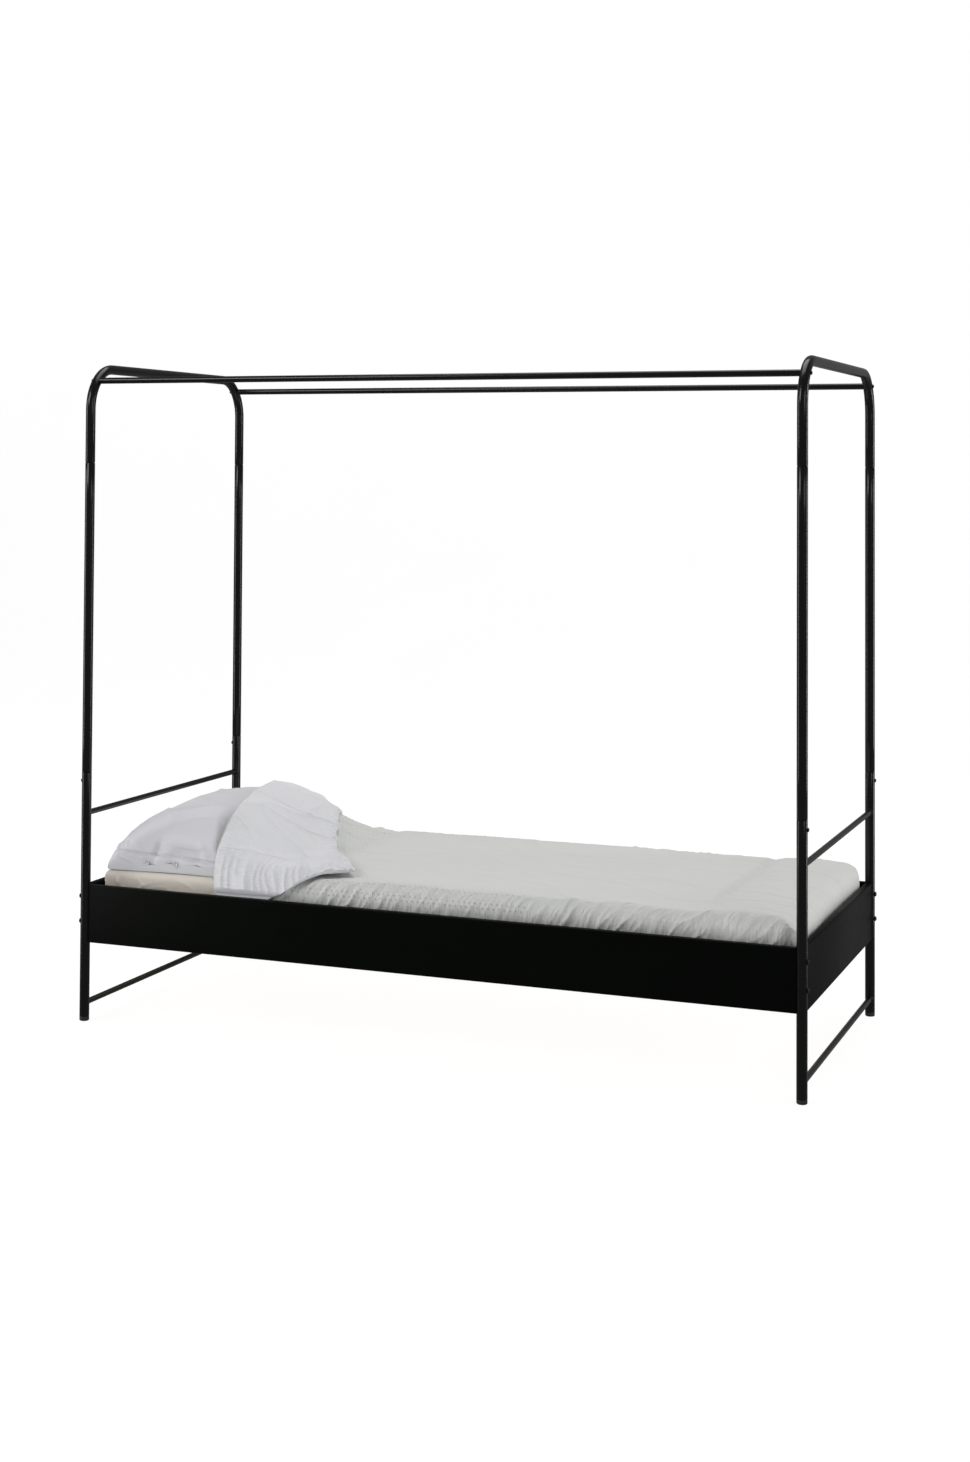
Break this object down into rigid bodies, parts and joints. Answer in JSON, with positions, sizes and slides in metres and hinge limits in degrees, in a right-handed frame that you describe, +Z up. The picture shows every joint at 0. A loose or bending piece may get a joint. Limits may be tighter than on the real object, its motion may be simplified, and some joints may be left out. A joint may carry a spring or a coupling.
{
  "type": "canopy bed",
  "caption": "Single four-poster canopy bed in black steel: arched ends, long top rails, panelled sides on slats, with mattress, pillow and turned-back duvet.",
  "frame": {"origin": "on the floor, at the middle of the bed", "axes": "+X from the head towards the foot, +Y across the bed, +Z up"},
  "size_m": [2.0976, 0.988, 1.88],
  "materials": {
    "black_steel": "satin",
    "bolt_steel": "satin",
    "glide_plastic": "matte",
    "slat_wood": "matte",
    "slat_webbing": "matte",
    "mattress_ticking": "matte",
    "sheet_cotton": "matte",
    "pillow_cotton": "satin",
    "duvet_cotton": "matte"
  },
  "bodies": {
    "frame": {"glide_head_near": "glide_plastic", "leg_head_near": "black_steel", "post_head_near": "black_steel", "seam_bolt_head_near": "bolt_steel", "side_bolt_head_near_lower": "bolt_steel", "side_bolt_head_near_upper": "bolt_steel", "rail_bolt_head_near": "bolt_steel", "glide_head_far": "glide_plastic", "leg_head_far": "black_steel", "post_head_far": "black_steel", "seam_bolt_head_far": "bolt_steel", "side_bolt_head_far_lower": "bolt_steel", "side_bolt_head_far_upper": "bolt_steel", "rail_bolt_head_far": "bolt_steel", "glide_foot_near": "glide_plastic", "leg_foot_near": "black_steel", "post_foot_near": "black_steel", "seam_bolt_foot_near": "bolt_steel", "side_bolt_foot_near_lower": "bolt_steel", "side_bolt_foot_near_upper": "bolt_steel", "rail_bolt_foot_near": "bolt_steel", "glide_foot_far": "glide_plastic", "leg_foot_far": "black_steel", "post_foot_far": "black_steel", "seam_bolt_foot_far": "bolt_steel", "side_bolt_foot_far_lower": "bolt_steel", "side_bolt_foot_far_upper": "bolt_steel", "rail_bolt_foot_far": "bolt_steel", "arch_head": "black_steel", "upper_bar_head": "black_steel", "lower_bar_head": "black_steel", "end_panel_head": "black_steel", "arch_foot": "black_steel", "upper_bar_foot": "black_steel", "lower_bar_foot": "black_steel", "end_panel_foot": "black_steel", "side_panel_near": "black_steel", "slat_ledge_near": "black_steel", "canopy_rail_near": "black_steel", "side_panel_far": "black_steel", "slat_ledge_far": "black_steel", "canopy_rail_far": "black_steel", "slat_01": "slat_wood", "slat_02": "slat_wood", "slat_03": "slat_wood", "slat_04": "slat_wood", "slat_05": "slat_wood", "slat_06": "slat_wood", "slat_07": "slat_wood", "slat_08": "slat_wood", "slat_09": "slat_wood", "slat_10": "slat_wood", "slat_11": "slat_wood", "slat_12": "slat_wood", "slat_strap_near": "slat_webbing", "slat_strap_far": "slat_webbing"},
    "mattress": {"mattress": "mattress_ticking", "fitted_sheet": "sheet_cotton"},
    "pillow": {"pillow": "pillow_cotton"},
    "duvet": {"duvet": "duvet_cotton"}
  },
  "joints": [
    {"name": "mattress_lift", "type": "slide", "parent": "frame", "child": "mattress", "axis": [0, 0, 1], "range_m": [0, 0.15]},
    {"name": "pillow_lift", "type": "slide", "parent": "mattress", "child": "pillow", "axis": [0, 0, 1], "range_m": [0, 0.15]},
    {"name": "duvet_lift", "type": "slide", "parent": "mattress", "child": "duvet", "axis": [0, 0, 1], "range_m": [0, 0.3]}
  ],
  "couplings": [
    {"joint": "duvet_lift", "follows": "pillow_lift", "ratio": 2}
  ]
}
